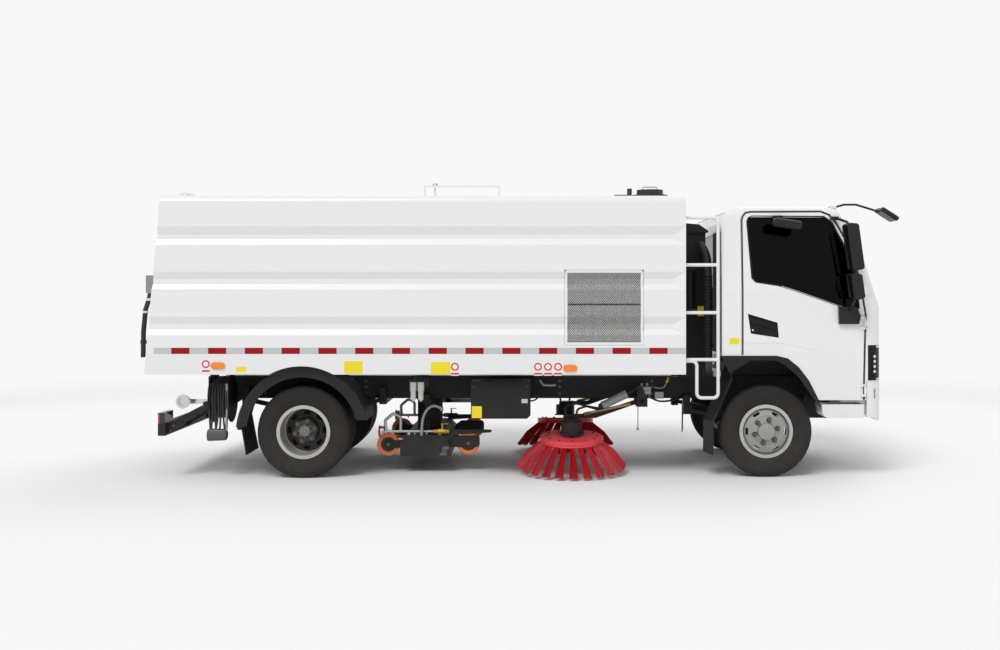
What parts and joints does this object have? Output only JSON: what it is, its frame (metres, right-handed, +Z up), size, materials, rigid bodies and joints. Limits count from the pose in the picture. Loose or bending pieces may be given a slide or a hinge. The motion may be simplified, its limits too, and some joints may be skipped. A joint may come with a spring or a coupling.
{
  "type": "street sweeper truck",
  "caption": "White two-axle street sweeper truck with a tipping hopper, side brushes and a suction nozzle between the axles.",
  "frame": {"origin": "on the ground under the middle of the truck's length and width", "axes": "+X forward along the truck, +Y to its left, +Z up"},
  "size_m": [6.2795, 2.5, 2.4129],
  "materials": {
    "body_white": "gloss",
    "frame_black": "satin",
    "engine_iron": "satin",
    "window_glass": "gloss",
    "seat_fabric": "matte",
    "dash_plastic": "matte",
    "lamp_lens": "gloss",
    "trim_black": "matte",
    "lamp_red": "gloss",
    "fitting_chrome": "polished",
    "cabinet_black": "gloss",
    "filter_grey": "matte",
    "tank_aluminium": "satin",
    "grille_steel": "satin",
    "lamp_amber": "gloss",
    "hose_blue": "satin",
    "tyre_rubber": "matte",
    "rim_silver": "satin",
    "disc_red": "satin",
    "bristle_red": "matte",
    "caster_orange": "satin"
  },
  "bodies": {
    "chassis": {"chassis_frame": "frame_black", "axles": "frame_black", "leaf_springs": "frame_black", "engine_block": "engine_iron", "cab_shell": "body_white", "cab_glass": "window_glass", "seats": "seat_fabric", "dashboard": "dash_plastic", "front_bumper": "body_white", "headlamps": "lamp_lens", "front_grille": "trim_black", "step_sills": "body_white", "wheel_arch_trims": "trim_black", "lookdown_mirror": "trim_black", "rear_mudguards": "trim_black", "underrun_guard": "frame_black", "tail_lamps": "lamp_red", "water_inlet": "fitting_chrome", "hose_reel": "trim_black", "electric_cabinet": "cabinet_black", "water_filters": "filter_grey", "intake_stack": "trim_black", "fuel_tank": "tank_aluminium"},
    "hopper": {"hopper_shell": "body_white", "side_grilles": "grille_steel", "roof_fittings": "body_white", "ladder": "body_white", "marker_lamps": "lamp_amber"},
    "rear_door": {"rear_door": "body_white", "drain_hose": "hose_blue"},
    "door_right": {"door_right": "body_white", "door_glass_right": "window_glass", "mirrors_right": "trim_black"},
    "door_left": {"door_left": "body_white", "door_glass_left": "window_glass", "mirrors_left": "trim_black"},
    "knuckle_right": {"knuckle_right": "frame_black"},
    "knuckle_left": {"knuckle_left": "frame_black"},
    "wheel_front_right": {"tyre_front_right": "tyre_rubber", "rim_front_right": "rim_silver"},
    "wheel_front_left": {"tyre_front_left": "tyre_rubber", "rim_front_left": "rim_silver"},
    "wheel_rear_right": {"tyres_rear_right": "tyre_rubber", "rim_rear_right": "rim_silver"},
    "wheel_rear_left": {"tyres_rear_left": "tyre_rubber", "rim_rear_left": "rim_silver"},
    "brush_arm_right": {"brush_arm_right": "frame_black"},
    "brush_arm_left": {"brush_arm_left": "frame_black"},
    "brush_right": {"brush_disc_right": "disc_red", "brush_bristles_right": "bristle_red"},
    "brush_left": {"brush_disc_left": "disc_red", "brush_bristles_left": "bristle_red"},
    "nozzle": {"suction_nozzle": "frame_black", "spray_bars": "fitting_chrome"},
    "caster_front_right": {"caster_front_right": "caster_orange"},
    "caster_front_left": {"caster_front_left": "caster_orange"},
    "caster_rear_right": {"caster_rear_right": "caster_orange"},
    "caster_rear_left": {"caster_rear_left": "caster_orange"}
  },
  "joints": [
    {"name": "steer_right", "type": "hinge", "parent": "chassis", "child": "knuckle_right", "pos_m": [1.984, -0.69, 0.376], "axis": [0, 0, 1], "range_deg": [-35, 35]},
    {"name": "steer_left", "type": "hinge", "parent": "chassis", "child": "knuckle_left", "pos_m": [1.984, 0.69, 0.376], "axis": [0, 0, 1], "range_deg": [-35, 35]},
    {"name": "wheel_front_right_spin", "type": "hinge", "parent": "knuckle_right", "child": "wheel_front_right", "pos_m": [1.984, -0.845, 0.376], "axis": [0, 1, 0], "continuous": true},
    {"name": "wheel_front_left_spin", "type": "hinge", "parent": "knuckle_left", "child": "wheel_front_left", "pos_m": [1.984, 0.845, 0.376], "axis": [0, 1, 0], "continuous": true},
    {"name": "wheel_rear_right_spin", "type": "hinge", "parent": "chassis", "child": "wheel_rear_right", "pos_m": [-1.816, -0.785, 0.376], "axis": [0, 1, 0], "continuous": true},
    {"name": "wheel_rear_left_spin", "type": "hinge", "parent": "chassis", "child": "wheel_rear_left", "pos_m": [-1.816, 0.785, 0.376], "axis": [0, 1, 0], "continuous": true},
    {"name": "door_right_swing", "type": "hinge", "parent": "chassis", "child": "door_right", "pos_m": [2.775, -1.02, 1.3], "axis": [0, 0, 1], "range_deg": [0, 65]},
    {"name": "door_left_swing", "type": "hinge", "parent": "chassis", "child": "door_left", "pos_m": [2.775, 1.02, 1.3], "axis": [0, 0, -1], "range_deg": [0, 65]},
    {"name": "hopper_tip", "type": "hinge", "parent": "chassis", "child": "hopper", "pos_m": [-2.7, 0, 0.815], "axis": [0, -1, 0], "range_deg": [0, 45]},
    {"name": "rear_door_lift", "type": "hinge", "parent": "hopper", "child": "rear_door", "pos_m": [-2.84, 0, 2.332], "axis": [0, 1, 0], "range_deg": [0, 80]},
    {"name": "brush_lift_right", "type": "hinge", "parent": "chassis", "child": "brush_arm_right", "pos_m": [0.99, -0.6, 0.6], "axis": [0, 1, 0], "range_deg": [0, 15]},
    {"name": "brush_lift_left", "type": "hinge", "parent": "chassis", "child": "brush_arm_left", "pos_m": [0.99, 0.6, 0.6], "axis": [0, 1, 0], "range_deg": [0, 15]},
    {"name": "brush_right_spin", "type": "hinge", "parent": "brush_arm_right", "child": "brush_right", "pos_m": [0.389, -0.74, 0.3], "axis": [0, -0.1045, 0.9945], "continuous": true},
    {"name": "brush_left_spin", "type": "hinge", "parent": "brush_arm_left", "child": "brush_left", "pos_m": [0.389, 0.74, 0.3], "axis": [0, 0.1045, 0.9945], "continuous": true},
    {"name": "nozzle_lift", "type": "slide", "parent": "chassis", "child": "nozzle", "axis": [0, 0, 1], "range_m": [-0.12, 0]},
    {"name": "caster_front_right_spin", "type": "hinge", "parent": "nozzle", "child": "caster_front_right", "pos_m": [-0.481, -0.6, 0.24], "axis": [0, 1, 0], "continuous": true},
    {"name": "caster_front_left_spin", "type": "hinge", "parent": "nozzle", "child": "caster_front_left", "pos_m": [-0.481, 0.6, 0.24], "axis": [0, 1, 0], "continuous": true},
    {"name": "caster_rear_right_spin", "type": "hinge", "parent": "nozzle", "child": "caster_rear_right", "pos_m": [-1.16, -0.6, 0.23], "axis": [0, 1, 0], "continuous": true},
    {"name": "caster_rear_left_spin", "type": "hinge", "parent": "nozzle", "child": "caster_rear_left", "pos_m": [-1.16, 0.6, 0.23], "axis": [0, 1, 0], "continuous": true}
  ],
  "couplings": [
    {"joint": "steer_left", "follows": "steer_right", "ratio": 1}
  ]
}
